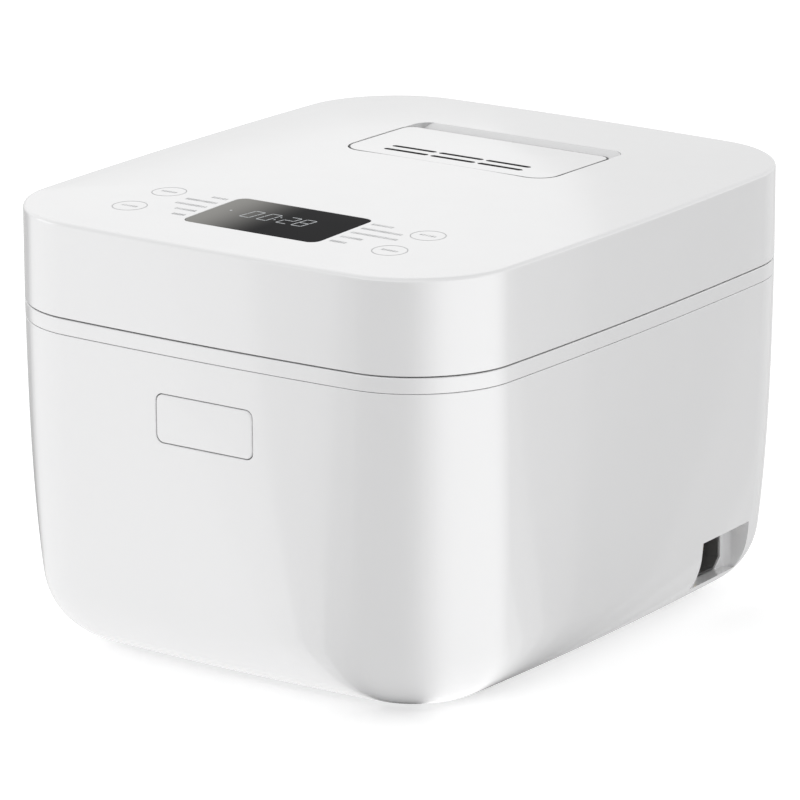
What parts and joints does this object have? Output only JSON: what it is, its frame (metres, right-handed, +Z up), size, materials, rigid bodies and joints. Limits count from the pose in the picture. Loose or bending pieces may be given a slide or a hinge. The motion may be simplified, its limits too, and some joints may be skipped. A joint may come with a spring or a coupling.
{
  "type": "rice cooker",
  "caption": "Square-bodied countertop rice cooker with a hinged lid, touch display, lift-out steam vent, front lid-release button, coated inner pot and rear side mains inlet.",
  "frame": {"origin": "centre of the footprint, on the surface that the feet stand on", "axes": "+X to the right of someone facing the front, +Y from the front to the back, +Z up"},
  "size_m": [0.2846, 0.3354, 0.2287],
  "materials": {
    "white_shell": "smooth glossy white moulding",
    "white_inner": "fine satin moulding",
    "dark_glass": "black-backed smoked panel",
    "black_plastic": "fine black moulding",
    "grey_rubber": "matte",
    "clear_rubber": "translucent silicone",
    "aluminium": "spun",
    "steel": "drawn",
    "zinc_steel": "zinc-coated sheet",
    "pot_coating": "dark non-stick coating",
    "brass": "plain",
    "circuit_board": "solder mask",
    "winding_tape": "taped winding",
    "lead_sheath": "soft sheath"
  },
  "bodies": {
    "root": {"outer_shell": "white_shell", "base_plate": "white_inner", "foot_front_left": "grey_rubber", "base_screw_front_left": "zinc_steel", "foot_front_right": "grey_rubber", "base_screw_front_right": "zinc_steel", "foot_rear_left": "grey_rubber", "base_screw_rear_left": "zinc_steel", "foot_rear_right": "grey_rubber", "base_screw_rear_right": "zinc_steel", "deck_ring": "white_shell", "cooking_chamber": "zinc_steel", "heating_plate": "aluminium", "heating_element": "steel", "inner_pot": "pot_coating", "sensor_sleeve": "steel", "sensor_spring": "steel", "power_board": "circuit_board", "transformer": "winding_tape", "relay": "black_plastic", "terminal_block": "black_plastic", "inlet_socket": "black_plastic", "inlet_pin_live": "brass", "inlet_pin_earth": "brass", "inlet_pin_neutral": "brass", "mains_lead": "lead_sheath", "button_spring": "steel", "latch_frame": "zinc_steel", "latch_pin": "steel", "hinge_bracket_left": "zinc_steel", "hinge_bracket_right": "zinc_steel", "hinge_shaft": "steel", "hinge_spring": "steel"},
    "sensor": {"sensor_cap": "aluminium"},
    "release_button": {"push_plate": "white_shell"},
    "latch": {"latch_hook": "black_plastic"},
    "lid": {"lid_cover": "white_shell", "lid_liner": "white_inner", "inner_lid": "aluminium", "seal_ring": "clear_rubber", "latch_strike": "zinc_steel", "lid_screw_front_left": "zinc_steel", "lid_screw_front_right": "zinc_steel", "lid_screw_rear_left": "zinc_steel", "lid_screw_rear_right": "zinc_steel", "display_window": "dark_glass", "display_module": "black_plastic", "control_board": "circuit_board", "touch_pad_front_left": "clear_rubber", "touch_pad_front_right": "clear_rubber", "touch_pad_rear_left": "clear_rubber", "touch_pad_rear_right": "clear_rubber", "steam_duct": "white_inner", "steam_gasket": "clear_rubber", "hinge_cover": "white_shell", "hinge_arm_left": "zinc_steel", "hinge_arm_right": "zinc_steel"},
    "vent_unit": {"vent_cover": "white_shell", "vent_tray": "white_inner", "vent_gasket": "clear_rubber"}
  },
  "joints": [
    {"name": "lid_hinge", "type": "hinge", "parent": "root", "child": "lid", "pos_m": [0, 0.158, 0.184], "axis": [-1, 0, 0], "range_deg": [0, 85]},
    {"name": "vent_lift", "type": "slide", "parent": "lid", "child": "vent_unit", "axis": [0, 0, 1], "range_m": [0, 0.02]},
    {"name": "button_press", "type": "slide", "parent": "root", "child": "release_button", "axis": [0, 1, 0], "range_m": [0, 0.003], "stiffness_N_per_m": 500, "deforming": ["button_spring"]},
    {"name": "latch_release", "type": "hinge", "parent": "root", "child": "latch", "pos_m": [0, -0.137, 0.152], "axis": [1, 0, 0], "range_deg": [0, 14]},
    {"name": "sensor_plunge", "type": "slide", "parent": "root", "child": "sensor", "axis": [0, 0, 1], "range_m": [-0.003, 0], "stiffness_N_per_m": 300, "springref_m": 0.002, "deforming": ["sensor_spring"]}
  ],
  "couplings": [
    {"joint": "latch_release", "follows": "button_press", "rad_per_m": 80}
  ]
}
